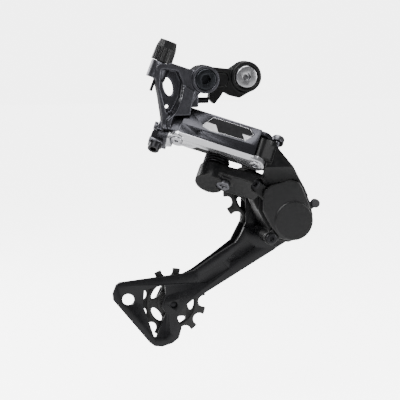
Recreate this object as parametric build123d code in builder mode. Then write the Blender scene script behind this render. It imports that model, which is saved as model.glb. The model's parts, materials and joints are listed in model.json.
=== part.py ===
from build123d import *
import math
import os

os.makedirs("parts", exist_ok=True)

# Rear bicycle derailleur, millimetres, +Z up. X points to the front of the bike, Y towards the wheel.
# The origin is the hanger bolt's axis, on the face of the bracket link that meets the frame's hanger.

# ---- driving sizes -----------------------------------------------------------------------------
hanger_r, hanger_thread_len = 5.0, 9.0            # M10 fixing bolt
bracket_thick = 8.0
b_axle = (-30.2, -0.7)                            # X, Z of the bracket axle
b_shank_r, b_eye_r = 4.5, 9.2
fit = 0.05                                        # radial running clearance

rear_pin = (-50.3, -24.0, -39.8)                  # lower end of the outer link's rear pin
link_len, link_height, link_gap = 53.5, 24.0, 16.0
tilt, slant, rest = 30.0, 36.0, 20.0              # the link pins' lean and the rest angle, degrees
pin_r, inner_pin_r = 2.5, 2.2
ear_r, ear_t, barrel_r = 5.8, 3.4, 4.8
inner_ear_r, inner_barrel_r, inner_low = 4.8, 4.4, 11.0

p_axis = (28.66, -95.07)                          # X, Z of the cage pivot
p_shank_r = 4.5
guide = (13.0, -80.4)                             # X, Z of the guide pulley
cage_dir = (-0.6272, -0.7788)                     # X, Z from the guide pulley to the tension pulley
pulley_centres = 95.66
teeth, chain_pitch, roller_r, tip_r = 11, 12.7, 4.05, 23.8
plate_out, plate_out_t = 4.9, 2.4                 # outer cage plate: outer face and thickness
plate_in, plate_in_t = 16.7, 2.0
pulley_y = (plate_out + plate_out_t + plate_in) / 2
pulley_bolt_r = 2.5

adjuster_at, adjuster_lean = (-58.3, -13.0, 10.6), 21.0
adjuster_r = 7.1
housing_front, housing_back, cover_front = -22.0, 4.4, -27.0


# ---- frames and helpers --------------------------------------------------------------------------
def facing(y):
    """Sketch plane seen from outside the bike, at depth y."""
    return Plane.XZ.offset(-y)


def across(x, z):
    """Plane whose normal is the inboard direction, through (x, z)."""
    return Plane(origin=(x, 0, z), x_dir=(1, 0, 0), z_dir=(0, 1, 0))


tb, sb, rb = (math.radians(d) for d in (tilt, slant, rest))
pin_dir = Vector(math.cos(sb) * math.sin(tb), math.sin(sb), math.cos(sb) * math.cos(tb))
flat_dir = Vector(math.cos(tb), 0, -math.sin(tb))
side_dir = pin_dir.cross(flat_dir)
link_dir = flat_dir * math.cos(rb) - side_dir * math.sin(rb)
link_plane = Plane(origin=rear_pin, x_dir=link_dir, z_dir=pin_dir)


def on_link(x, y, z=0.0):
    """Plane square to the link pins, at a point given in the link's own frame."""
    return Plane(origin=link_plane.from_local_coords((x, y, z)), x_dir=link_dir, z_dir=pin_dir)


def on_cage(y):
    """Plane at depth y whose x runs from the guide pulley to the tension pulley."""
    return Plane(origin=(guide[0], y, guide[1]), x_dir=(cage_dir[0], 0, cage_dir[1]), z_dir=(0, 1, 0))


def cage_point(u, v):
    """X, Z of a point given along and across the cage."""
    return guide[0] + u * cage_dir[0] + v * cage_dir[1], guide[1] + u * cage_dir[1] - v * cage_dir[0]


def prism(plane, points, height, radius=0.0, mode=Mode.ADD):
    """Straight-sided block on a plane, its corners rounded."""
    with BuildSketch(plane) as outline:
        with BuildLine():
            if radius:
                FilletPolyline(*points, radius=radius, close=True)
            else:
                Polyline(*points, close=True)
        make_face()
    extrude(outline.sketch, amount=height, mode=mode)


def slab(points, y_out, y_in, radius=0.0, mode=Mode.ADD):
    prism(facing(y_in), points, y_in - y_out, radius, mode)


def rod(plane, radius, start, end, mode=Mode.ADD):
    """Cylinder on the plane's normal between two distances along it."""
    with Locations(plane.offset(start)):
        Cylinder(radius, end - start, align=(Align.CENTER, Align.CENTER, Align.MIN), mode=mode)


def ring(plane, inner, outer, start, end, mode=Mode.ADD):
    with BuildSketch(plane.offset(start)) as face:
        Circle(outer)
        Circle(inner, mode=Mode.SUBTRACT)
    extrude(face.sketch, amount=end - start, mode=mode)


def hex_socket(plane, flats, depth):
    """Six-sided recess going along the plane's normal."""
    with BuildSketch(plane) as face:
        RegularPolygon(flats / 2, 6, major_radius=False)
    extrude(face.sketch, amount=depth, mode=Mode.SUBTRACT)


def block(plane, x0, x1, y0, y1, height, mode=Mode.ADD):
    prism(plane, [(x0, y0), (x1, y0), (x1, y1), (x0, y1)], height, mode=mode)


def coil(plane, radius, wire, pitch, height):
    """Helical spring on the plane's normal."""
    with BuildPart() as spring:
        with BuildLine():
            Helix(pitch=pitch, height=height, radius=radius)
        with BuildSketch(Plane(origin=(radius, 0, 0), x_dir=(1, 0, 0), z_dir=(0, 1, 0))):
            Circle(wire)
        sweep(is_frenet=True)
    return plane.location * spring.part


def save(piece, name):
    piece.part.label = name
    export_step(piece.part, f"parts/{name}.step")


hanger_axis, b_axis, cage_axis = across(0, 0), across(*b_axle), across(*p_axis)

# ---- bracket link, fixed to the frame ------------------------------------------------------------
with BuildPart() as bracket_link:
    with BuildSketch(facing(0)):
        Circle(10.4)
        with Locations(b_axle):
            Circle(8.6)
        with BuildLine():
            Polyline(
                (-30.2, 7.6), (-27.7, 7.2), (-11, 5.2), (-6, 8.4), (3, 0), (8, -6.5), (3.8, -9.6),
                (-4.4, -14.1), (-10.6, -12.6), (-15.4, -9.9), (-17, -12.6), (-21.5, -18.1),
                (-25, -14.6), (-24.4, -9), (-30.2, -8.8), close=True,
            )
        make_face()
    extrude(amount=bracket_thick)
    ring(hanger_axis, 7.8, 10.4, -9.6, -bracket_thick)
    slab([(-21, 3.6), (-13, 2.6), (-11.5, -2), (-13.5, -6.5), (-20, -6.8)], -8.5, -6.8, 1.2, Mode.SUBTRACT)
    rod(hanger_axis, 7.8, -bracket_thick, -5, Mode.SUBTRACT)
    rod(hanger_axis, hanger_r + 0.1, -6, 0, Mode.SUBTRACT)
    rod(hanger_axis, 7.0, -1.6, 0, Mode.SUBTRACT)
    rod(b_axis, b_shank_r, -bracket_thick, 0, Mode.SUBTRACT)
    chamfer(bracket_link.edges().group_by(Axis.Y)[0].sort_by(SortBy.LENGTH)[-1], 0.8)
save(bracket_link, "bracket_link")

with BuildPart() as hanger_bolt:
    rod(hanger_axis, 7.5, -10, -5)
    rod(hanger_axis, hanger_r, -5, hanger_thread_len)
    chamfer(hanger_bolt.edges().filter_by(GeomType.CIRCLE).group_by(Axis.Y)[0], 0.7)
    chamfer(hanger_bolt.edges().filter_by(GeomType.CIRCLE).group_by(Axis.Y)[-1], 0.9)
    hex_socket(hanger_axis.offset(-10), 5, 4.5)
    rod(hanger_axis, 1.6, -6, hanger_thread_len, Mode.SUBTRACT)
    ring(hanger_axis, 4.5, 6, -1.4, -0.4, Mode.SUBTRACT)
save(hanger_bolt, "hanger_bolt")

with BuildPart() as hanger_bolt_circlip:
    ring(hanger_axis, 4.5, 6.4, -1.35, -0.45)
    slab([(-1.6, -3), (1.6, -3), (2.4, -8), (-2.4, -8)], -1.5, -0.3, mode=Mode.SUBTRACT)
save(hanger_bolt_circlip, "hanger_bolt_circlip")

with BuildPart() as b_axle_bolt:
    rod(b_axis, 7.0, -22, -18.25)
    rod(b_axis, b_shank_r, -18.25, -0.5)
    chamfer(b_axle_bolt.edges().filter_by(GeomType.CIRCLE).group_by(Axis.Y)[0], 0.6)
    hex_socket(b_axis.offset(-22), 6, 5)
save(b_axle_bolt, "b_axle_bolt")

# ---- upper body, swings on the bracket axle --------------------------------------------------------
adj_l = math.radians(adjuster_lean)
adjuster_plane = Plane(
    origin=adjuster_at,
    x_dir=(math.cos(adj_l), 0, -math.sin(adj_l)),
    z_dir=(math.sin(adj_l), 0, math.cos(adj_l)),
)
b_screw_plane = Plane(origin=(-37, -5.6, -15.3), x_dir=(0, 1, 0), z_dir=(1, 0, 0))
limit_screws = [(4.5, 9.5), (10.5, 9.5)]          # link-frame y, z of the two end-stop screws


def limit_plane(y, z):
    return Plane(origin=link_plane.from_local_coords((0, y, z)), x_dir=pin_dir, z_dir=link_dir)


with BuildPart() as b_body:
    slab(
        [(-33, 7.5), (-38.9, 5.6), (-52.6, 10.2), (-62, 9.4), (-63.4, 2), (-62.9, -1.7), (-60.8, -11.9),
         (-58.8, -25.5), (-58.6, -33), (-53.5, -38.5), (-46, -36), (-41.2, -29.4), (-38.6, -15.9),
         (-33.5, -9.4), (-28, -5)], -20, -9.5, 1.0)
    slab([(-56.5, -27), (-55.5, -36), (-46, -36), (-41.6, -29.4), (-39.6, -17), (-37.5, -8.6), (-44.8, -4),
          (-46, -12), (-51, -22.5)], -22.6, -19, 1.2)
    slab([(-59.5, 6.6), (-48.5, 4.9), (-45.4, -2.2), (-46.8, -12.3), (-53, -24.3), (-56, -22.6),
          (-60.4, -5.1)], -20.5, -13, 1.2, Mode.SUBTRACT)
    with BuildSketch(facing(-9)) as see_through:
        with Locations((-53.6, -5.6)):
            Ellipse(3.1, 6.2, rotation=14)
        with Locations((-54.6, -18.6)):
            Circle(1.3)
    extrude(see_through.sketch, amount=5, mode=Mode.SUBTRACT)
    # room for the outer link's swing, then the two knuckles the links turn on
    block(link_plane.offset(-30), -40, 40, -40, 40, 30 + ear_t + 0.3, Mode.SUBTRACT)
    prism(link_plane.offset(-1), [(-6.5, -8.8), (70, -8.8), (70, 60), (40, 60), (-6.5, 7)],
          link_height + 1.5, mode=Mode.SUBTRACT)
    block(link_plane.offset(3.7), -11, -6.5, -3.5, 19.5, 17.5)
    block(link_plane.offset(4.6), -15, -6.5, 0.5, 14.5, 9.8)
    block(link_plane.offset(3.7), -8, 0, -4.4, 4.4, 16.6)
    block(link_plane.offset(13.8), -8, 0, link_gap - 4, link_gap + 4, 7.4)
    rod(link_plane, barrel_r, 3.7, link_height - 3.7)
    rod(on_link(0, link_gap), inner_barrel_r, 13.8, 21.2)
    rod(link_plane, pin_r + fit, 3, 22, Mode.SUBTRACT)
    rod(on_link(0, link_gap), inner_pin_r + fit, 13, 22, Mode.SUBTRACT)
    for where in limit_screws:
        rod(limit_plane(*where), 1.5 + fit, -16, -3, Mode.SUBTRACT)
        rod(limit_plane(*where), 3.1, -30, -15.4, Mode.SUBTRACT)
    # bracket eye
    rod(b_axis, b_eye_r, -21.5, -8.3)
    rod(b_axis, 7.15, -21.5, -18.2, Mode.SUBTRACT)
    rod(b_axis, 5.6, -18.3, -8, Mode.SUBTRACT)
    rod(b_axis, 7.7, -15, -8, Mode.SUBTRACT)
    # lug for the tension screw
    slab([(-42, -11), (-33.2, -11.4), (-33.2, -19.4), (-42, -19.4)], -13, -2.2, 1.0)
    rod(b_screw_plane, 2 + fit, -8, 6, Mode.SUBTRACT)
    # cable adjuster boss
    rod(adjuster_plane, adjuster_r + 0.4, 0, 14, Mode.SUBTRACT)
    rod(adjuster_plane, 6.4, -11.5, 0)
    rod(adjuster_plane, 3 + fit, -7.6, 1, Mode.SUBTRACT)
    rod(adjuster_plane, 1.0, -12, -7, Mode.SUBTRACT)
    rod(adjuster_plane, 1.3, -22, -11.5, Mode.SUBTRACT)
save(b_body, "b_body")

with BuildPart() as b_axle_bush:
    ring(b_axis, b_shank_r + fit, 5.6, -18.2, -8.4)
save(b_axle_bush, "b_axle_bush")

with BuildPart() as b_spring:
    add(coil(b_axis.offset(-14.3), 6.7, 0.62, 1.55, 5.2))
save(b_spring, "b_spring")

with BuildPart() as b_seal:
    ring(b_axis, 7.9, 9.0, -8.3, -8.05)
save(b_seal, "b_seal")

with BuildPart() as cable_guide_tube:
    ring(adjuster_plane, 0.65, 1.0, -20, -8)
save(cable_guide_tube, "cable_guide_tube")

with BuildPart() as cable_adjuster:
    rod(adjuster_plane, 3.0, -7, 0.3)
    with BuildSketch(adjuster_plane.offset(0.3)):
        Circle(adjuster_r)
        with PolarLocations(adjuster_r + 0.2, 18):
            Circle(0.8, mode=Mode.SUBTRACT)
    extrude(amount=9.4, taper=2)
    with BuildSketch(adjuster_plane.offset(9.7)):
        RegularPolygon(5.9, 6, major_radius=False)
    extrude(amount=4.9, taper=12)
    rod(adjuster_plane, 2.5, 6.6, 16, Mode.SUBTRACT)
    rod(adjuster_plane, 0.8, -8, 9, Mode.SUBTRACT)
save(cable_adjuster, "cable_adjuster")

with BuildPart() as b_tension_screw:
    rod(b_screw_plane, 2.0, -8.4, 11.6)
    rod(b_screw_plane, 3.4, -10.8, -8.4)
    fillet(b_tension_screw.edges().filter_by(GeomType.CIRCLE).group_by(Axis.X)[0], 0.7)
    hex_socket(b_screw_plane.offset(-10.8), 2.5, 1.8)
save(b_tension_screw, "b_tension_screw")

for where, name in zip(limit_screws, ("high_limit_screw", "low_limit_screw")):
    axis = limit_plane(*where)
    with BuildPart() as screw:
        rod(axis, 1.5, -15.5, -5.2)
        rod(axis, 2.7, -17.6, -15.5)
        with BuildSketch(axis.offset(-17.6)) as cross:
            Rectangle(3.2, 0.7)
            Rectangle(0.7, 3.2)
        extrude(cross.sketch, amount=1.2, mode=Mode.SUBTRACT)
    save(screw, name)

# ---- outer link --------------------------------------------------------------------------------------
section = Plane(origin=rear_pin, x_dir=link_plane.y_dir, z_dir=link_dir)
facet = Plane(
    origin=link_plane.from_local_coords((0, -8, 9)),
    x_dir=link_dir,
    z_dir=link_plane.y_dir * -0.9968 + pin_dir * 0.0797,
)
plate_pts = [(12.5, 2.6), (17.5, 13.2), (43.5, 13.2), (47.5, 9.0), (42.5, 1.2), (19, 0.6)]
clamp_at = (-12.8, 5.2)

with BuildPart() as outer_link:
    prism(section, [(4, 0), (-3.6, 0), (-7, 1.8), (-8, 9), (-6.8, 24), (4, 24), (4, 20.6), (-5.3, 20.6),
                    (-5.3, 3.4), (4, 3.4)], link_len - 2.5)
    for x in (0, link_len):
        rod(on_link(x, 0), ear_r, 0, ear_t)
        rod(on_link(x, 0), ear_r, link_height - ear_t, link_height)
    for z in (0, link_height - ear_t):
        block(link_plane.offset(z), link_len - 4, link_len, -5.8, 4, ear_t)
        prism(link_plane.offset(z - 0.1), [(9, 6), (14, 0.4), (link_len - 14, 0.4), (link_len - 9, 6)],
              ear_t + 0.2, mode=Mode.SUBTRACT)
    prism(link_plane.offset(-2.4), [(-2, 5.4), (-12, 10), (-17, 8), (-17.4, 2.6), (-13, 0), (-5, -3)], 5.6, 0.9)
    rod(on_link(*clamp_at), pin_r, -3, 4, Mode.SUBTRACT)
    for x in (0, link_len):
        rod(on_link(x, 0), pin_r, -3, 25, Mode.SUBTRACT)
        rod(on_link(x, 0), 4.1, -3, 0, Mode.SUBTRACT)
    prism(facet.offset(-0.7), plate_pts, 2, 1.2, Mode.SUBTRACT)
    with Locations(Plane(origin=link_plane.from_local_coords((13, -7.6, 5.6)), x_dir=link_dir,
                         z_dir=link_plane.y_dir * -0.99 - pin_dir * 0.14)):
        Cylinder(2.2, 2.4, mode=Mode.SUBTRACT)
save(outer_link, "outer_link")

with BuildPart() as link_name_plate:
    prism(facet.offset(-0.7), plate_pts, 0.6, 1.2)
    chamfer(link_name_plate.faces().sort_by(SortBy.AREA)[-2:].edges(), 0.12)
save(link_name_plate, "link_name_plate")

for x, name in ((0, "outer_link_rear_pin"), (link_len, "outer_link_front_pin")):
    with BuildPart() as pin:
        rod(on_link(x, 0), pin_r, 0, link_height + 0.3)
        rod(on_link(x, 0), 3.9, -0.7, 0)
        rod(on_link(x, 0), 1.3, -0.8, 0.6, Mode.SUBTRACT)
    save(pin, name)

with BuildPart() as cable_clamp_plate:
    prism(on_link(*clamp_at, -4.4), [(-4.8, -4), (4.4, -4), (4.4, 4), (0, 5), (-4.8, 4)], 2.0, 0.8)
    rod(on_link(*clamp_at), pin_r, -5, -2, Mode.SUBTRACT)
    with BuildSketch(Plane(origin=on_link(clamp_at[0], clamp_at[1] + 3.3, -2.4).origin,
                           x_dir=pin_dir, z_dir=link_dir)) as groove:
        Circle(0.7)
    extrude(groove.sketch, amount=6, both=True, mode=Mode.SUBTRACT)
save(cable_clamp_plate, "cable_clamp_plate")

with BuildPart() as cable_clamp_bolt:
    rod(on_link(*clamp_at), pin_r, -4.4, 3.2)
    rod(on_link(*clamp_at), 4.4, -5.3, -4.4)
    rod(on_link(*clamp_at), 3.9, -8.8, -5.3)
    hex_socket(on_link(*clamp_at, -8.8), 4, 2.8)
save(cable_clamp_bolt, "cable_clamp_bolt")

# ---- inner link --------------------------------------------------------------------------------------
with BuildPart() as inner_link:
    block(link_plane.offset(inner_low), 6.2, link_len - 6.2, link_gap - 4, link_gap + 4, 13)
    for z in (inner_low, link_height - 2.5):
        block(link_plane.offset(z), 0, link_len, link_gap - 4, link_gap + 4, 2.5)
        for x in (0, link_len):
            rod(on_link(x, link_gap, z), inner_ear_r, 0, 2.5)
    block(link_plane.offset(inner_low + 2.5), 10, link_len - 10, link_gap - 1.2, link_gap + 5, 8, Mode.SUBTRACT)
    for x in (0, link_len):
        rod(on_link(x, link_gap), inner_pin_r, 10, 25, Mode.SUBTRACT)
save(inner_link, "inner_link")

for x, name in ((0, "inner_link_rear_pin"), (link_len, "inner_link_front_pin")):
    with BuildPart() as pin:
        rod(on_link(x, link_gap), inner_pin_r, inner_low, link_height + 0.5)
        rod(on_link(x, link_gap), 3.2, link_height, link_height + 0.6)
    save(pin, name)

# ---- lower body ----------------------------------------------------------------------------------------
housing_pts = [(6, -74.5), (12.8, -69), (25.9, -64.6), (33.5, -67), (37, -73), (42, -84), (43.6, -91.3),
               (42, -100.5), (35, -107.5), (26, -110.2), (17.5, -108), (11, -99), (5.4, -88)]
cover_pts = [(7.6, -74.2), (12.8, -70.4), (25.9, -66.2), (32.2, -68.6), (34.6, -72.5), (39.0, -82.6),
             (41.9, -91.3), (40, -99.8), (34, -105.8), (26, -108.6), (19.2, -106.6), (13, -98.6), (7.6, -88)]
screw_at = [(1.8, -69.4), (13.6, -106.6)]
spring_at, plug_at, cap_at = (28.5, 17.6), (link_len + 9.2, 3.0), (37.6, 16.6)
front_x = link_len + 6.3


def ear_web(x, z, share, half=4.0):
    """Corners of the web running from a cover screw part of the way to the cage pivot."""
    dx, dz = p_axis[0] - x, p_axis[1] - z
    d = math.hypot(dx, dz)
    nx, nz = -dz / d * half, dx / d * half
    near = [(x + nx, z + nz), (x - nx, z - nz)]
    return near + [(x - nx + dx * share, z - nz + dz * share), (x + nx + dx * share, z + nz + dz * share)]


# arm from the link knuckles down to the clutch housing
with BuildPart() as arm:
    slab([(0, -62), (2, -46), (6, -38.5), (10, -36.6), (16, -46), (31.5, -66.5), (33, -84), (8, -84), (4, -74)],
         -46, 4, 1.5)
    prism(Plane.YZ.offset(-10), [(-41, -57), (-32.5, -39), (-24, -38), (-12.5, -53), (2, -70), (2, -90),
                                 (-21.5, -90), (-22.5, -73), (-30, -67)], 60, mode=Mode.INTERSECT)
    prism(link_plane.offset(-30), [(front_x - 2, -12), (front_x + 9, -12), (front_x + 30, 12), (front_x + 30, -50),
                                   (front_x - 2, -50)], 80, mode=Mode.SUBTRACT)
    block(link_plane.offset(-30), -30, front_x, -70, 70, 90, Mode.SUBTRACT)

with BuildPart() as p_body:
    slab(housing_pts, housing_front, housing_back, 1.5)
    for x, z in screw_at:
        rod(across(x, z), 4.6, housing_front, -8)
        slab(ear_web(x, z, 0.4), housing_front, -8)
    slab([(-12, -64), (-11, -69), (-0.4, -76.3), (4.1, -85.9), (10.5, -98.5), (22, -86), (12, -66), (0, -60)],
         -20, -3.5, 1.0)
    # room for both links
    block(link_plane.offset(-1.3), -20, front_x, -70, 6.4, 27, Mode.SUBTRACT)
    block(link_plane.offset(inner_low - 0.5), -20, front_x, -70, 24, 16, Mode.SUBTRACT)
    rod(on_link(*spring_at), 10.4, -1.0, inner_low, Mode.SUBTRACT)
    add(arm.solids().sort_by(SortBy.VOLUME)[-1])
    block(link_plane.offset(3.7), link_len, front_x + 3, -4.4, 4.4, 16.6)
    block(link_plane.offset(13.8), link_len, front_x + 3, link_gap - 3.9, link_gap + 3.9, 7.4)
    rod(on_link(link_len, 0), barrel_r, 3.7, link_height - 3.7)
    rod(on_link(link_len, link_gap), inner_barrel_r, 13.8, 21.2)
    rod(on_link(link_len, 0), pin_r + fit, 3, 22, Mode.SUBTRACT)
    rod(on_link(link_len, link_gap), inner_pin_r + fit, 13, 22, Mode.SUBTRACT)
    # cup under the return spring
    rod(on_link(*spring_at), 9.8, -13, -1.3)
    rod(on_link(*cap_at), 5.4, -9.5, -1.3)
    prism(link_plane.offset(-9), [(spring_at[0], 8.6), (spring_at[0], 27.4), (front_x, 26), (front_x + 4, 12),
                                  (front_x, 6.6)], 7.7, 1.0)
    rod(on_link(*spring_at), 6.4, -2, 9.4)
    rod(on_link(*spring_at), 3.0, -5, 10, Mode.SUBTRACT)
    rod(on_link(*cap_at), 2.0, -10, -4, Mode.SUBTRACT)
    rod(on_link(*cap_at), 4.7, -20, -9.5, Mode.SUBTRACT)
    slab(cover_pts, -60, housing_front, 1.5, Mode.SUBTRACT)
    for x, z in screw_at:
        rod(across(x, z), 4.8, -60, housing_front, Mode.SUBTRACT)
        slab(ear_web(x, z, 0.4, 4.1), -60, housing_front, mode=Mode.SUBTRACT)
    # clutch chamber, lever slot, pivot bore and cage spring pocket
    rod(cage_axis, 11.5, -23, -8.5, Mode.SUBTRACT)
    with BuildSketch(facing(-19.6)) as slot:
        with BuildLine():
            Polyline(
                (p_axis[0] + 2, p_axis[1] + 4), (p_axis[0] + 15, p_axis[1] + 21), (p_axis[0] + 30, p_axis[1]),
                (p_axis[0] + 19.5, p_axis[1] - 17), (p_axis[0] + 2, p_axis[1] - 4.5), close=True,
            )
        make_face()
    extrude(slot.sketch, amount=4, mode=Mode.SUBTRACT)
    rod(cage_axis, 5.6, -9, 5, Mode.SUBTRACT)
    rod(cage_axis, 10.0, -5.5, 5, Mode.SUBTRACT)
    for x, z in screw_at:
        rod(across(x, z), 1.5, -23, -13, Mode.SUBTRACT)
    rod(on_link(*plug_at), 1.9, 14, 30, Mode.SUBTRACT)
    rod(on_link(*plug_at), 4.3, 24.6, 40, Mode.SUBTRACT)
save(p_body, "p_body")

with BuildPart() as p_body_plug:
    rod(on_link(*plug_at), 1.9, 14, 24.6)
    rod(on_link(*plug_at), 4.2, 24.6, 28.6)
save(p_body_plug, "p_body_plug")

with BuildPart() as return_spring:
    add(coil(on_link(*spring_at, -0.2), 7.7, 0.95, 2.25, 8.6))
save(return_spring, "return_spring")

with BuildPart() as return_spring_screw:
    rod(on_link(*cap_at), 2.0, -9.5, -4)
    rod(on_link(*cap_at), 4.4, -12.2, -9.5)
    with BuildSketch(on_link(*cap_at, -12.2)) as cross:
        Rectangle(5, 1.1)
        Rectangle(1.1, 5)
    extrude(cross.sketch, amount=1.4, mode=Mode.SUBTRACT)
save(return_spring_screw, "return_spring_screw")

with BuildPart() as p_bush:
    ring(cage_axis, p_shank_r + fit, 5.6, -8.5, 3.8)
save(p_bush, "p_bush")

with BuildPart() as p_spring:
    add(coil(cage_axis.offset(-4.4), 7.6, 0.85, 1.9, 7.4))
save(p_spring, "p_spring")

with BuildPart() as roller_clutch:
    ring(cage_axis, p_shank_r + fit, 8.4, -17, -8.5)
    with BuildSketch(cage_axis.offset(-17)) as rollers:
        with PolarLocations(5.9, 9):
            Circle(0.9)
    extrude(rollers.sketch, amount=1.2, mode=Mode.SUBTRACT)
save(roller_clutch, "roller_clutch")

with BuildPart() as friction_band:
    ring(cage_axis, 8.4, 9.4, -16.5, -9.5)
    for side in (-1, 1):
        block(cage_axis.offset(-16.5), side * 1.4 - 0.5, side * 1.4 + 0.5, 9.0, 11.3, 7)
    block(cage_axis.offset(-17), -0.9, 0.9, 7, 10.5, 8, Mode.SUBTRACT)
save(friction_band, "friction_band")

with BuildPart() as clutch_gasket:
    slab(cover_pts, -22.3, housing_front, 1.5)
    rod(cage_axis, 11.5, -23, -21, Mode.SUBTRACT)
    slab([(p_axis[0] + 4, p_axis[1] + 4), (p_axis[0] + 16, p_axis[1] + 19), (p_axis[0] + 26, p_axis[1]),
          (p_axis[0] + 18, p_axis[1] - 14), (p_axis[0] + 4, p_axis[1] - 4)], -23, -21, mode=Mode.SUBTRACT)
save(clutch_gasket, "clutch_gasket")

with BuildPart() as clutch_cover:
    slab(cover_pts, cover_front, -22.3, 2.2)
    fillet(clutch_cover.faces().sort_by(Axis.Y)[0].edges(), 1.1)
    rod(cage_axis, 13.0, -27.7, -25)
    fillet(clutch_cover.edges().filter_by(GeomType.CIRCLE).group_by(Axis.Y)[0], 0.5)
    for x, z in screw_at:
        rod(across(x, z), 4.6, -24.2, -22.3)
        slab(ear_web(x, z, 0.35), -24.2, -22.3)
    for x, z in screw_at:
        rod(across(x, z), 3.6, -30, -24.2, Mode.SUBTRACT)
        rod(across(x, z), 1.5, -25, -22, Mode.SUBTRACT)
    rod(cage_axis, 9.5, -25.5, -22, Mode.SUBTRACT)
    rod(cage_axis, 3.4, -26, -19.9)
save(clutch_cover, "clutch_cover")

with BuildPart() as clutch_cover_screws:
    for x, z in screw_at:
        rod(across(x, z), 1.5, -24.2, -14)
        rod(across(x, z), 3.5, -26.2, -24.2)
        hex_socket(across(x, z).offset(-26.2), 3.0, 1.6)
save(clutch_cover_screws, "clutch_cover_screws")

# ---- clutch lever ----------------------------------------------------------------------------------------
lever_a = math.radians(34.5)
lever_dir = (math.cos(lever_a), 0, math.sin(lever_a))
lever_plane = Plane(origin=(p_axis[0], -21.8, p_axis[1]), x_dir=lever_dir, z_dir=(0, 1, 0))
with BuildPart() as clutch_lever:
    ring(cage_axis, 3.4 + fit, 8.6, -21.8, -19.8)
    block(lever_plane, 6, 18, -2.2, 2.2, 2.0)
    with Locations(lever_plane.offset(-2.4)):
        with Locations((19.2, 0)):
            Cylinder(2.9, 4.4, align=(Align.CENTER, Align.CENTER, Align.MIN))
    block(lever_plane, -10.9, -6, -0.8, 0.8, 2.0)
    block(lever_plane, -10.9, -9.8, -0.8, 0.8, 10.0)
save(clutch_lever, "clutch_lever")

# ---- cage ----------------------------------------------------------------------------------------------
outer_pts = [(20.8, -4.6), (30.9, -7.1), (37.1, -7.5), (52.3, -1.8), (69.3, 3.6), (75.7, 8.5), (106, 39.1),
             (108.9, 40), (114.9, 38.1), (118.1, 35), (126.1, -2.9), (126, -7.3), (123.2, -11.8),
             (117.2, -16), (111.9, -17.3), (105, -14.5), (101.5, -8), (97.5, -6.2), (92.1, -6.8), (85.9, -8.2),
             (76, -12.6), (14.2, -36.2), (4, -37.5), (-8, -33), (-12.5, -22), (-11, -9), (-7.5, 2), (-1, 8),
             (8, 6)]
inner_pts = [(-7, 2), (0, 8.4), (8, 6.4), (22, -4), (37, -7), (52, -3), (69, 2), (80, 7), (92, 11.5),
             (100, 9.5), (105, 2), (103.5, -6), (97, -10.2), (88, -9.5), (76, -13.5), (60, -17), (40, -22),
             (18, -22), (3, -12), (-6, -7)]
pocket_depth = 1.3
arm_pockets = [
    [(30, -12.5), (36, -12), (48, -9.4), (49, -13.4), (42, -17.6), (30, -21)],
    [(52, -8.2), (68, -2.2), (73.5, -4.6), (70, -9.6), (53, -15.6)],
]
pulleys = {"guide": cage_point(0, 0), "tension": cage_point(pulley_centres, 0)}

with BuildPart() as outer_cage_plate:
    prism(on_cage(plate_out), outer_pts, plate_out_t, 0.9)
    # thicker beyond the clutch housing, with pockets in the arm
    prism(on_cage(plate_out - pocket_depth), [(24, -5.6)] + outer_pts[1:21] + [(22, -33.1)], pocket_depth + 0.5, 0.9)
    rod(across(*pulleys["tension"]), 6.8, plate_out - 1.8, plate_out + 1)
    for pocket in arm_pockets:
        prism(on_cage(plate_out - 3), pocket, 3.4, 1.4, Mode.SUBTRACT)
    # opening around the boss, with a strut across it
    prism(on_cage(plate_out - 2), [(88.5, 13.5), (94, 8.6), (101.2, 6.6), (103.2, 2.2), (103.4, -1.2),
                                   (112.6, -10.6), (117.2, -9.8), (121.5, -3.5), (108.4, 17.2), (100, 22.6)],
          6, 0.8, Mode.SUBTRACT)
    prism(on_cage(plate_out - 0.6), [(101, 1.2), (101, -7.5), (121, -13.5), (123, -5.5)], plate_out_t + 0.6)
    with BuildSketch(on_cage(plate_out - 2)) as wing_hole:
        with Locations((111.6, 27.2)):
            Ellipse(3.9, 4.4)
    extrude(wing_hole.sketch, amount=6, mode=Mode.SUBTRACT)
    rod(cage_axis, p_shank_r, 3, 9, Mode.SUBTRACT)
    for x, z in pulleys.values():
        rod(across(x, z), pulley_bolt_r, 3, 9, Mode.SUBTRACT)
    rod(across(*cage_point(19.1, -12.8)), 2.0, 4, 8, Mode.SUBTRACT)
save(outer_cage_plate, "outer_cage_plate")

with BuildPart() as cage_stop_pin:
    rod(across(*cage_point(19.1, -12.8)), 2.0, -1.5, plate_out + plate_out_t)
save(cage_stop_pin, "cage_stop_pin")

with BuildPart() as inner_cage_plate:
    prism(on_cage(plate_in), inner_pts, plate_in_t, 2.0)
    prism(on_cage(plate_in - 1), [(30, -16.5), (70, -9.5), (74, -4.5), (52, -8.5), (30, -12)], 6, 1.5, Mode.SUBTRACT)
    for x, z in pulleys.values():
        rod(across(x, z), pulley_bolt_r, 16, 20, Mode.SUBTRACT)
    fillet(inner_cage_plate.faces().sort_by(Axis.Y)[-1].outer_wire().edges(), 0.5)
save(inner_cage_plate, "inner_cage_plate")

with BuildPart() as p_axle:
    rod(cage_axis, p_shank_r, -19.2, plate_out + plate_out_t)
    rod(cage_axis, 7.0, plate_out + plate_out_t, 8.4)
    hex_socket(cage_axis.offset(5.4), 5, 4)
save(p_axle, "p_axle")

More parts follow.
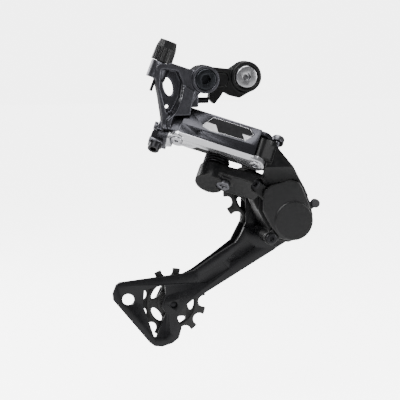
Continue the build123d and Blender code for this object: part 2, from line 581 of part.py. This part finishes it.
cap_t = 0.9
gap_lo, gap_hi = plate_out + plate_out_t, plate_in
for name, (x, z) in pulleys.items():
    axis = across(x, z)
    with BuildPart() as bolt:
        rod(axis, pulley_bolt_r, plate_out, plate_in + plate_in_t)
        rod(axis, 4.3, plate_in + plate_in_t, 21.2)
        fillet(bolt.edges().filter_by(GeomType.CIRCLE).group_by(Axis.Y)[-1], 0.6)
        hex_socket(axis.offset(19.2), 3, 3)
    save(bolt, f"{name}_pulley_bolt")
    with BuildPart() as bush:
        ring(axis, pulley_bolt_r, 4.0, gap_lo + cap_t, gap_hi - cap_t)
    save(bush, f"{name}_pulley_bush")
    with BuildPart() as caps:
        ring(axis, pulley_bolt_r, 7.6, gap_lo, gap_lo + cap_t)
        ring(axis, pulley_bolt_r, 7.6, gap_hi - cap_t, gap_hi)
    save(caps, f"{name}_pulley_caps")
    pitch_r = chain_pitch / 2 / math.sin(math.pi / teeth)
    with BuildPart() as pulley:
        with BuildSketch(axis.offset(pulley_y - 1.15)) as blank:
            Circle(tip_r)
            with PolarLocations(pitch_r, teeth):
                Circle(roller_r, mode=Mode.SUBTRACT)
                Polygon((0, -roller_r), (4, -5.6), (4, 5.6), (0, roller_r), align=None, mode=Mode.SUBTRACT)
        extrude(blank.sketch, amount=2.3)
        ring(axis, 16.0, 17.8, pulley_y - 1.9, pulley_y + 1.9)
        ring(axis, 8, 10.4, pulley_y - 1.9, pulley_y + 1.9)
        ring(axis, 3, 8.4, gap_lo + cap_t + 0.1, gap_hi - cap_t - 0.1)
        with BuildSketch(axis.offset(pulley_y - 3)) as windows:
            with PolarLocations(13.1, 5):
                Ellipse(2.3, 5.6)
        extrude(windows.sketch, amount=6, mode=Mode.SUBTRACT)
        rod(axis, 4.0 + fit, 5, 20, Mode.SUBTRACT)
    save(pulley, f"{name}_pulley")
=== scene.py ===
import json
import math

import bpy
from mathutils import Matrix, Vector


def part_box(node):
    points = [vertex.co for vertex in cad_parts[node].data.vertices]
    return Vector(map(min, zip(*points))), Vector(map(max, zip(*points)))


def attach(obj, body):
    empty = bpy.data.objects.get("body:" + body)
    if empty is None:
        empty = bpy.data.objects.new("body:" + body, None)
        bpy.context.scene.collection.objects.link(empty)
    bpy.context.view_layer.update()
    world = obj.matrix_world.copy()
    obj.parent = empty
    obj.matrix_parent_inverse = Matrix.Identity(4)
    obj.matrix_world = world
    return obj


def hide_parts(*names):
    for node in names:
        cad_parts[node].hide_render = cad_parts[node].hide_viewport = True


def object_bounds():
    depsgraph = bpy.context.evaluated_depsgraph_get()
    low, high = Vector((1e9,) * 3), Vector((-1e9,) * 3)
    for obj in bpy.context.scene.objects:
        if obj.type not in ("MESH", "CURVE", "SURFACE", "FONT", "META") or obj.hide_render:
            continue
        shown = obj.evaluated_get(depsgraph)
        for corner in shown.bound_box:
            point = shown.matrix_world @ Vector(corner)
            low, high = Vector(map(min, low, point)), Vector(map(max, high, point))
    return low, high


bl_info = {
    "name": "Rear derailleur finish",
    "version": (1, 0, 0),
    "blender": (4, 5, 0),
    "location": "View3D > Sidebar > Derailleur",
    "description": "Cast, machined and moulded surfaces for a rear bicycle derailleur, on its CAD frame",
    "category": "Object",
}

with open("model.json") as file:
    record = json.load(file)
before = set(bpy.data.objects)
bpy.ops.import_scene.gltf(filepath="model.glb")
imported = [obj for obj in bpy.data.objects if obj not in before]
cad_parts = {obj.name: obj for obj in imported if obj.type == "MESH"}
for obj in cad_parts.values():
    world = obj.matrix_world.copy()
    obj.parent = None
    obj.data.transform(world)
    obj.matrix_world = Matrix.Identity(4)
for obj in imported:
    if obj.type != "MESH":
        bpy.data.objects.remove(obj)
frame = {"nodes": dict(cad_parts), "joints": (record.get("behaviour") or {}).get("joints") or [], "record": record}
CAD_BOX = [list(corner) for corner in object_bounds()]
NODE_BODY = {n: body for body, nodes in frame["record"]["behaviour"]["bodies"].items() for n in nodes}
SLOT_OF = {s["node"]: s["material_slot"] for s in frame["record"]["subparts"]}
JOINTS = {j["name"]: j for j in frame["joints"]}

# directions of the slanted link: along its pins, along its length, and across it towards the wheel
PIN_DIR = Vector(JOINTS["outer_link_pivot"]["axis"]).normalized()
PIVOT_A = Vector(JOINTS["outer_link_pivot"]["pos_m"])
PIVOT_B = Vector(JOINTS["lower_body_pivot"]["pos_m"])
LINK_DIR = (PIVOT_B - PIVOT_A).normalized()
SIDE_DIR = PIN_DIR.cross(LINK_DIR)
HALF_HEIGHT = 0.012
MM = 0.001


def on_link(x, y, z):
    """A point given in millimetres along, across and up the outer link, from its rear pin's lower end."""
    return PIVOT_A - PIN_DIR * HALF_HEIGHT + (LINK_DIR * x + SIDE_DIR * y + PIN_DIR * z) * MM


# stage: floor's distance below the part, and glow towards the part and towards the camera
FLOOR_DROP = 0.06
PAPER_GLOW = (0.12, 5.0)
AIR_GLOW = (0.2, 5.0)
# camera: degrees, metres, and the sensor's width in millimetres
CAMERA_AZIMUTH, CAMERA_ELEVATION = -12, 8
CAMERA_DISTANCE, VIEW_WIDTH, SENSOR = 1.0, 0.268, 36
AIM_RIGHT, AIM_UP = -0.0290, -0.0830


# ---- sizes and colours ---------------------------------------------------------------------------
class DerailleurSizes(bpy.types.PropertyGroup):
    """Sizes of the finishing work on castings, plates and fasteners."""

    casting_grain: bpy.props.FloatProperty(
        name="Casting cell", description="Cell size used to round the castings", default=0.00042,
        unit="LENGTH",
    )
    casting_passes: bpy.props.IntProperty(
        name="Casting smoothing", description="How often a casting's edges are eased", default=7, min=0
    )
    edge_break: bpy.props.FloatProperty(
        name="Edge break", description="Width of the broken edges on turned parts", default=0.00018,
        unit="LENGTH",
    )
    border_width: bpy.props.FloatProperty(
        name="Border wire", description="Thickness of the bright line round the name plate", default=0.0002,
        unit="LENGTH",
    )


class DerailleurColours(bpy.types.PropertyGroup):
    """Main colours of the finishes."""

    gunmetal: bpy.props.FloatVectorProperty(
        name="Gunmetal", description="Anodised colour of the upper body and outer link", subtype="COLOR",
        default=(0.034, 0.034, 0.039),
    )
    satin_black: bpy.props.FloatVectorProperty(
        name="Satin black", description="Paint of the lower body and bracket link", subtype="COLOR",
        default=(0.0025, 0.0025, 0.0028),
    )
    bright: bpy.props.FloatVectorProperty(
        name="Bright metal", description="Turned and polished metal", subtype="COLOR",
        default=(0.46, 0.46, 0.48),
    )


# ---- materials -------------------------------------------------------------------------------------
def new_material(name):
    """An empty node material, and its shader and object coordinates."""
    mat = bpy.data.materials.new(name)
    mat.use_nodes = True
    tree = mat.node_tree
    shader = tree.nodes["Principled BSDF"]
    place = tree.nodes.new("ShaderNodeTexCoord").outputs["Object"]
    return mat, tree, shader, place


def noise(tree, place, scale, detail=3.0, rough=0.5):
    node = tree.nodes.new("ShaderNodeTexNoise")
    node.inputs["Scale"].default_value = scale
    node.inputs["Detail"].default_value = detail
    node.inputs["Roughness"].default_value = rough
    tree.links.new(place, node.inputs["Vector"])
    return node.outputs["Fac"]


def ramp(tree, factor, low, high, start=0.3, end=0.7):
    """Colour that runs from low to high as the factor goes from start to end."""
    node = tree.nodes.new("ShaderNodeValToRGB")
    node.color_ramp.elements[0].position = start
    node.color_ramp.elements[1].position = end
    node.color_ramp.elements[0].color = (*low, 1)
    node.color_ramp.elements[1].color = (*high, 1)
    tree.links.new(factor, node.inputs["Fac"])
    return node.outputs["Color"]


def span(tree, factor, low, high, start=0.3, end=0.7):
    """Number that runs from low to high as the factor goes from start to end."""
    node = tree.nodes.new("ShaderNodeMapRange")
    for key, value in zip(("From Min", "From Max", "To Min", "To Max"), (start, end, low, high)):
        node.inputs[key].default_value = value
    tree.links.new(factor, node.inputs["Value"])
    return node.outputs["Result"]


def bump(tree, shader, height, distance, strength=1.0):
    node = tree.nodes.new("ShaderNodeBump")
    node.inputs["Distance"].default_value = distance
    node.inputs["Strength"].default_value = strength
    tree.links.new(height, node.inputs["Height"])
    tree.links.new(node.outputs["Normal"], shader.inputs["Normal"])


def along(tree, place, direction, origin):
    """Distance from a point along a direction, in metres."""
    node = tree.nodes.new("ShaderNodeVectorMath")
    node.operation = "DOT_PRODUCT"
    node.inputs[1].default_value = direction
    tree.links.new(place, node.inputs[0])
    shift = tree.nodes.new("ShaderNodeMath")
    shift.operation = "SUBTRACT"
    shift.inputs[1].default_value = direction.dot(origin)
    tree.links.new(node.outputs["Value"], shift.inputs[0])
    return shift.outputs["Value"]


def shade(colour, factor):
    return tuple(min(1.0, c * factor) for c in colour)


def surface(name, colour, metallic, rough, grain=2600.0, grain_depth=0.00002, cloud=90.0, spread=0.14,
            gloss=0.3):
    """Finish with slow colour clouds, a fine grain and uneven gloss."""
    mat, tree, shader, place = new_material(name)
    shader.inputs["Metallic"].default_value = metallic
    shader.inputs["Specular IOR Level"].default_value = gloss
    clouds = noise(tree, place, cloud, 4)
    fine = noise(tree, place, grain, 2)
    tree.links.new(ramp(tree, clouds, shade(colour, 1 - spread), shade(colour, 1 + spread)),
                   shader.inputs["Base Color"])
    tree.links.new(span(tree, noise(tree, place, cloud * 4, 5, 0.65), rough * 0.82, rough * 1.25),
                   shader.inputs["Roughness"])
    bump(tree, shader, fine, grain_depth)
    return mat


def turned(name, colour, rough, centre, axis, ridge=0.00022):
    """Lathe-turned metal: fine rings round an axis."""
    mat, tree, shader, place = new_material(name)
    shader.inputs["Metallic"].default_value = 1.0
    offset = tree.nodes.new("ShaderNodeVectorMath")
    offset.operation = "SUBTRACT"
    offset.inputs[1].default_value = centre
    tree.links.new(place, offset.inputs[0])
    cross = tree.nodes.new("ShaderNodeVectorMath")
    cross.operation = "CROSS_PRODUCT"
    cross.inputs[1].default_value = axis
    tree.links.new(offset.outputs["Vector"], cross.inputs[0])
    radius = tree.nodes.new("ShaderNodeVectorMath")
    radius.operation = "LENGTH"
    tree.links.new(cross.outputs["Vector"], radius.inputs[0])
    wave = tree.nodes.new("ShaderNodeMath")
    wave.operation = "SINE"
    scale = tree.nodes.new("ShaderNodeMath")
    scale.operation = "MULTIPLY"
    scale.inputs[1].default_value = 2 * math.pi / ridge
    tree.links.new(radius.outputs["Value"], scale.inputs[0])
    tree.links.new(scale.outputs["Value"], wave.inputs[0])
    clouds = noise(tree, place, 700, 4)
    tree.links.new(ramp(tree, clouds, shade(colour, 0.86), colour), shader.inputs["Base Color"])
    tree.links.new(span(tree, wave.outputs["Value"], rough * 0.8, rough * 1.3, -1, 1),
                   shader.inputs["Roughness"])
    bump(tree, shader, wave.outputs["Value"], 0.0000015)
    return mat


def link_finish(colour, bright):
    """Gunmetal link with a polished lower flange and lower ears."""
    mat, tree, shader, place = new_material("outer_link_anodised")
    height = along(tree, place, PIN_DIR, PIVOT_A - PIN_DIR * HALF_HEIGHT)
    low_edge = span(tree, height, 1.0, 0.0, 0.0018, 0.0021)
    reach = span(tree, along(tree, place, LINK_DIR, PIVOT_A), 0.0, 1.0, -0.0066, -0.0058)
    side = along(tree, place, SIDE_DIR, PIVOT_A)
    ears = tree.nodes.new("ShaderNodeMath")
    ears.operation = "MULTIPLY"
    tree.links.new(span(tree, height, 1.0, 0.0, 0.0036, 0.0037), ears.inputs[0])
    tree.links.new(span(tree, side, 0.0, 1.0, -0.0060, -0.0058), ears.inputs[1])
    polished = tree.nodes.new("ShaderNodeMath")
    polished.operation = "MAXIMUM"
    tree.links.new(low_edge, polished.inputs[0])
    tree.links.new(ears.outputs["Value"], polished.inputs[1])
    mask = tree.nodes.new("ShaderNodeMath")
    mask.operation = "MULTIPLY"
    tree.links.new(polished.outputs["Value"], mask.inputs[0])
    tree.links.new(reach, mask.inputs[1])
    clouds = noise(tree, place, 120, 4)
    body = ramp(tree, clouds, shade(colour, 0.9), shade(colour, 1.15))
    mix = tree.nodes.new("ShaderNodeMix")
    mix.data_type = "RGBA"
    tree.links.new(mask.outputs["Value"], mix.inputs["Factor"])
    tree.links.new(body, mix.inputs[6])
    tree.links.new(ramp(tree, clouds, shade(bright, 0.9), bright), mix.inputs[7])
    tree.links.new(mix.outputs[2], shader.inputs["Base Color"])
    shader.inputs["Metallic"].default_value = 0.92
    tree.links.new(span(tree, mask.outputs["Value"], 0.27, 0.2, 0, 1), shader.inputs["Roughness"])
    bump(tree, shader, noise(tree, place, 2600, 2), 0.000012)
    return mat


def plate_finish():
    """Dark inlay with plain slanted bands and no lettering."""
    mat, tree, shader, place = new_material("name_plate_inlay")
    x = along(tree, place, (LINK_DIR + PIN_DIR * 0.55), on_link(0, 0, 0))
    z = along(tree, place, PIN_DIR, on_link(0, 0, 0))
    band = tree.nodes.new("ShaderNodeMath")
    band.operation = "MULTIPLY"
    tree.links.new(span(tree, x, 1.0, 0.0, 0.0300, 0.0302), band.inputs[0])
    tree.links.new(span(tree, z, 1.0, 0.0, 0.0160, 0.0162), band.inputs[1])
    second = tree.nodes.new("ShaderNodeMath")
    second.operation = "MULTIPLY"
    tree.links.new(span(tree, x, 0.0, 1.0, 0.0480, 0.0482), second.inputs[0])
    tree.links.new(span(tree, z, 1.0, 0.0, 0.0155, 0.0157), second.inputs[1])
    both = tree.nodes.new("ShaderNodeMath")
    both.operation = "MAXIMUM"
    tree.links.new(band.outputs["Value"], both.inputs[0])
    tree.links.new(second.outputs["Value"], both.inputs[1])
    clouds = noise(tree, place, 300, 3)
    mix = tree.nodes.new("ShaderNodeMix")
    mix.data_type = "RGBA"
    tree.links.new(both.outputs["Value"], mix.inputs["Factor"])
    tree.links.new(ramp(tree, clouds, (0.005, 0.005, 0.0055), (0.008, 0.008, 0.009)), mix.inputs[6])
    tree.links.new(ramp(tree, clouds, (0.42, 0.42, 0.43), (0.5, 0.5, 0.51)), mix.inputs[7])
    tree.links.new(mix.outputs[2], shader.inputs["Base Color"])
    shader.inputs["Specular IOR Level"].default_value = 0.04
    tree.links.new(span(tree, noise(tree, place, 900, 3), 0.36, 0.5), shader.inputs["Roughness"])
    bump(tree, shader, noise(tree, place, 3000, 2), 0.00001)
    return mat


def node_centre(node):
    low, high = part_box(node)
    return (low + high) / 2


def finishes():
    """Every node's material, by node name."""
    c = bpy.context.scene.derailleur_colours
    across = Vector((0, 1, 0))
    dark = surface("black_oxide_steel", (0.02, 0.02, 0.022), 0.85, 0.34, 3200, 0.000012)
    by_slot = {
        "black_satin": surface("satin_black_casting", tuple(c.satin_black), 0.0, 0.34, 2300, 0.000015,
                               gloss=0.2),
        "bright_steel": surface("bright_steel", tuple(c.bright), 1.0, 0.24, 2500, 0.00001),
        "dark_steel": dark,
        "grey_steel": surface("grey_steel", (0.1, 0.1, 0.11), 0.95, 0.33, 2800, 0.000015),
        # painted highlight: the upper body's gunmetal is 1.5 times the outer link's, lightened to stand in for the
        # highlights that fall on it
        "gunmetal": surface("gunmetal_casting_painted_highlight", shade(tuple(c.gunmetal), 1.5), 0.85, 0.33, 2000, 0.00001,
                            120, 0.1),
        "rubber": surface("seal_rubber", (0.008, 0.008, 0.008), 0.0, 0.62, 1500, 0.00004),
        "black_plastic": surface("moulded_black", (0.005, 0.005, 0.0055), 0.0, 0.36, 1700, 0.00005),
        "grey_plastic": surface("moulded_grey", (0.02, 0.02, 0.022), 0.0, 0.45, 1700, 0.00004),
        "name_plate": plate_finish(),
        "black_anodised": surface("black_anodised_plate", (0.006, 0.006, 0.007), 0.3, 0.28, 2600, 0.00002),
        "pulley_resin": surface("pulley_resin", (0.008, 0.008, 0.008), 0.0, 0.4, 1400, 0.00004),
    }
    found = {node: by_slot[slot] for node, slot in SLOT_OF.items()}
    found["outer_link"] = link_finish(tuple(c.gunmetal), tuple(c.bright))
    found["hanger_bolt"] = turned("hanger_bolt_turned", tuple(c.bright), 0.24, Vector((0, 0, 0)), across)
    b_axis = node_centre("b_axle_bolt")
    found["b_axle_bolt"] = turned("axle_bolt_turned", (0.03, 0.032, 0.036), 0.3, b_axis, across)
    found["outer_link_rear_pin"] = turned("rear_pin_turned", (0.4, 0.4, 0.42), 0.25, PIVOT_A, PIN_DIR)
    found["outer_link_front_pin"] = turned("front_pin_turned", (0.4, 0.4, 0.42), 0.25, PIVOT_B, PIN_DIR)
    return found


def coat(piece, material):
    piece.data.materials.clear()
    piece.data.materials.append(material)


# ---- making pieces -----------------------------------------------------------------------------------
def deselect():
    for o in bpy.context.selected_objects:
        o.select_set(False)


def copy_of(node, name):
    """A merged copy of a CAD node's mesh, riding on the node's body and standing for it."""
    source = frame["nodes"][node]
    piece = bpy.data.objects.new(name, source.data.copy())
    bpy.context.scene.collection.objects.link(piece)
    deselect()
    piece.select_set(True)
    bpy.context.view_layer.objects.active = piece
    bpy.ops.object.mode_set(mode="EDIT")
    bpy.ops.mesh.select_all(action="SELECT")
    bpy.ops.mesh.remove_doubles(threshold=2e-6)
    bpy.ops.object.mode_set(mode="OBJECT")
    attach(piece, NODE_BODY[node])
    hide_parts(node)
    return piece


def apply(piece, kind, **settings):
    """Adds a modifier, sets it and applies it."""
    modifier = piece.modifiers.new(kind.title(), kind)
    for key, value in settings.items():
        setattr(modifier, key, value)
    bpy.context.view_layer.objects.active = piece
    bpy.ops.object.modifier_apply(modifier=modifier.name)


def cast(node, cell, passes):
    """Rounds a node's edges and inner corners as a casting's are."""
    piece = copy_of(node, f"{node}_casting")
    apply(piece, "REMESH", mode="VOXEL", voxel_size=cell, adaptivity=0.0)
    apply(piece, "SMOOTH", factor=0.5, iterations=passes)
    bpy.ops.object.shade_smooth()
    return piece


def break_edges(node, width, angle=32, segments=2):
    """Bevels a node's sharp edges."""
    piece = copy_of(node, f"{node}_finished")
    bpy.ops.object.mode_set(mode="EDIT")
    bpy.ops.mesh.select_all(action="SELECT")
    bpy.ops.mesh.dissolve_limited(angle_limit=math.radians(0.4))
    bpy.ops.object.mode_set(mode="OBJECT")
    apply(piece, "BEVEL", width=width, segments=segments, limit_method="ANGLE",
          angle_limit=math.radians(angle), use_clamp_overlap=True, harden_normals=False)
    bpy.ops.object.shade_smooth_by_angle(angle=math.radians(30))
    return piece


def smoothed(node):
    """Evens out the shading of a round node."""
    piece = copy_of(node, f"{node}_finished")
    bpy.ops.object.shade_smooth_by_angle(angle=math.radians(35))
    return piece


class DERAILLEUR_OT_castings(bpy.types.Operator):
    """Rounds the bodies and links, which are castings"""

    bl_idname = "derailleur.castings"
    bl_label = "Cast bodies and links"

    def execute(self, context):
        sizes = context.scene.derailleur_sizes
        coats = finishes_of(context)
        for node in ("b_body", "p_body", "bracket_link", "inner_link"):
            piece = cast(node, sizes.casting_grain, sizes.casting_passes)
            coat(piece, coats[node])
        coat(break_edges("outer_link", 0.0007, segments=3), coats["outer_link"])
        for node in ("clutch_cover", "clutch_lever"):
            piece = cast(node, sizes.casting_grain * 0.75, 3)
            coat(piece, coats[node])
        return {"FINISHED"}


class DERAILLEUR_OT_cage(bpy.types.Operator):
    """Breaks the edges of the cage plates and pulleys"""

    bl_idname = "derailleur.cage"
    bl_label = "Finish cage and pulleys"

    def execute(self, context):
        coats = finishes_of(context)
        for node, width in (("outer_cage_plate", 0.00055), ("inner_cage_plate", 0.0003),
                            ("guide_pulley", 0.0003), ("tension_pulley", 0.0003)):
            coat(break_edges(node, width), coats[node])
        return {"FINISHED"}


class DERAILLEUR_OT_turned_parts(bpy.types.Operator):
    """Breaks the edges of bolts, pins and screws, and smooths the shading of springs, bushes, pulley caps and the
    cable guide tube
    """

    bl_idname = "derailleur.turned_parts"
    bl_label = "Finish turned parts"

    def execute(self, context):
        width = context.scene.derailleur_sizes.edge_break
        coats = finishes_of(context)
        for node in ("b_spring", "return_spring", "p_spring", "guide_pulley_bush", "tension_pulley_bush",
                     "guide_pulley_caps", "tension_pulley_caps", "cable_guide_tube"):
            coat(smoothed(node), coats[node])
        for node in ("hanger_bolt", "b_axle_bolt", "cable_clamp_bolt", "cable_clamp_plate",
                     "outer_link_rear_pin", "outer_link_front_pin", "return_spring_screw", "p_body_plug",
                     "clutch_cover_screws", "guide_pulley_bolt", "tension_pulley_bolt"):
            coat(break_edges(node, width), coats[node])
        return {"FINISHED"}


class DERAILLEUR_OT_plate_border(bpy.types.Operator):
    """Lays the bright line round the name plate"""

    bl_idname = "derailleur.plate_border"
    bl_label = "Name plate border"

    def execute(self, context):
        sizes = context.scene.derailleur_sizes
        corners = ((13.1, 11.9), (18.0, 21.5), (43.2, 21.5), (46.6, 17.8), (42.0, 10.9), (19.4, 10.2))
        deselect()
        bpy.ops.mesh.primitive_circle_add(vertices=len(corners), radius=0.01, fill_type="NOTHING")
        wire = context.active_object
        wire.name = "name_plate_border"
        for vertex, (x, z) in zip(wire.data.vertices, corners):
            side = -7.94 + (z - 9) * 0.08
            vertex.co = on_link(x, side, z)
        bpy.ops.object.transform_apply(location=True, rotation=True, scale=True)
        bpy.ops.object.convert(target="CURVE")
        wire.data.bevel_depth = sizes.border_width
        wire.data.bevel_resolution = 2
        bpy.ops.object.convert(target="MESH")
        bpy.ops.object.shade_smooth()
        coat(wire, surface("border_line", (0.5, 0.5, 0.52), 0.9, 0.3, 2600, 0.00001))
        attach(wire, "outer_link")
        return {"FINISHED"}


class DERAILLEUR_OT_coat_frame(bpy.types.Operator):
    """Coats every node that is shown as the CAD made it"""

    bl_idname = "derailleur.coat_frame"
    bl_label = "Coat remaining parts"

    def execute(self, context):
        coats = finishes_of(context)
        deselect()
        for name, node in frame["nodes"].items():
            if node.hide_render:
                continue
            coat(node, coats[name])
        return {"FINISHED"}


class DERAILLEUR_OT_stage(bpy.types.Operator):
    """Floor, backdrop, soft lights and camera"""

    bl_idname = "derailleur.stage"
    bl_label = "Stage"

    def execute(self, context):
        low, high = (Vector(c) for c in CAD_BOX)
        centre = (low + high) / 2
        deselect()
        bpy.ops.mesh.primitive_plane_add(size=6, location=(centre.x, centre.y, low.z - FLOOR_DROP))
        floor = context.active_object
        floor.name = "studio_floor"
        paper = surface("studio_paper", (0.92, 0.92, 0.92), 0.0, 0.85, 60, 0.00002, 1.5, 0.01)
        glow = paper.node_tree.nodes["Principled BSDF"]
        glow.inputs["Emission Color"].default_value = (1, 1, 1, 1)
        tree = paper.node_tree
        viewed = tree.nodes.new("ShaderNodeLightPath").outputs["Is Camera Ray"]
        tree.links.new(span(tree, viewed, *PAPER_GLOW, 0, 1), glow.inputs["Emission Strength"])
        coat(floor, paper)
        world = bpy.data.worlds.new("studio_air")
        context.scene.world = world
        world.use_nodes = True
        air = world.node_tree.nodes["Background"]
        air.inputs["Color"].default_value = (1, 1, 1, 1)
        seen = world.node_tree.nodes.new("ShaderNodeLightPath").outputs["Is Camera Ray"]
        world.node_tree.links.new(span(world.node_tree, seen, *AIR_GLOW, 0, 1), air.inputs["Strength"])
        for name, offset, size, power in (
            ("key_light", (-0.35, -0.55, 0.6), 0.45, 9),
            ("fill_light", (0.6, -0.5, 0.1), 0.3, 4),
            ("top_light", (0.05, 0.05, 0.75), 0.5, 7),
            ("rim_light", (-0.5, 0.5, 0.3), 0.4, 6),
        ):
            bpy.ops.object.light_add(type="AREA", location=centre + Vector(offset))
            lamp = context.active_object
            lamp.name = name
            lamp.data.size = size
            lamp.data.energy = power
            lamp.rotation_mode = "QUATERNION"
            lamp.rotation_quaternion = Vector(offset).to_track_quat("Z", "Y")
        azimuth, elevation = math.radians(CAMERA_AZIMUTH), math.radians(CAMERA_ELEVATION)
        right = Vector((math.cos(azimuth), math.sin(azimuth), 0))
        back = Vector((math.sin(azimuth) * math.cos(elevation), -math.cos(azimuth) * math.cos(elevation),
                       math.sin(elevation)))
        up = back.cross(right)
        aim = right * AIM_RIGHT + up * AIM_UP
        bpy.ops.object.camera_add(location=aim + back * CAMERA_DISTANCE)
        camera = context.active_object
        camera.name = "studio_camera"
        camera.data.sensor_width = SENSOR
        camera.data.lens = SENSOR * CAMERA_DISTANCE / VIEW_WIDTH
        camera.data.clip_start = 0.01
        camera.rotation_mode = "QUATERNION"
        camera.rotation_quaternion = Matrix((right, up, back)).transposed().to_quaternion()
        context.scene.camera = camera
        return {"FINISHED"}


COATS = {}


def finishes_of(context):
    """The finishes, made once."""
    if not COATS:
        COATS.update(finishes())
    return COATS


class DERAILLEUR_PT_panel(bpy.types.Panel):
    """Buttons for each finishing step"""

    bl_idname = "DERAILLEUR_PT_panel"
    bl_label = "Derailleur"
    bl_space_type = "VIEW_3D"
    bl_region_type = "UI"
    bl_category = "Derailleur"

    def draw(self, context):
        for name in ("casting_grain", "casting_passes", "edge_break", "border_width"):
            self.layout.prop(context.scene.derailleur_sizes, name)
        for name in ("gunmetal", "satin_black", "bright"):
            self.layout.prop(context.scene.derailleur_colours, name)
        for operator in OPERATORS:
            self.layout.operator(operator.bl_idname)


OPERATORS = (
    DERAILLEUR_OT_castings,
    DERAILLEUR_OT_cage,
    DERAILLEUR_OT_turned_parts,
    DERAILLEUR_OT_plate_border,
    DERAILLEUR_OT_coat_frame,
    DERAILLEUR_OT_stage,
)
CLASSES = (DerailleurSizes, DerailleurColours, *OPERATORS, DERAILLEUR_PT_panel)


def register():
    for cls in CLASSES:
        bpy.utils.register_class(cls)
    bpy.types.Scene.derailleur_sizes = bpy.props.PointerProperty(type=DerailleurSizes)
    bpy.types.Scene.derailleur_colours = bpy.props.PointerProperty(type=DerailleurColours)


def unregister():
    del bpy.types.Scene.derailleur_colours
    del bpy.types.Scene.derailleur_sizes
    for cls in reversed(CLASSES):
        bpy.utils.unregister_class(cls)


def main():
    register()
    bpy.ops.derailleur.castings()
    bpy.ops.derailleur.cage()
    bpy.ops.derailleur.turned_parts()
    bpy.ops.derailleur.plate_border()
    bpy.ops.derailleur.coat_frame()
    bpy.ops.derailleur.stage()


if __name__ == "__main__":
    main()
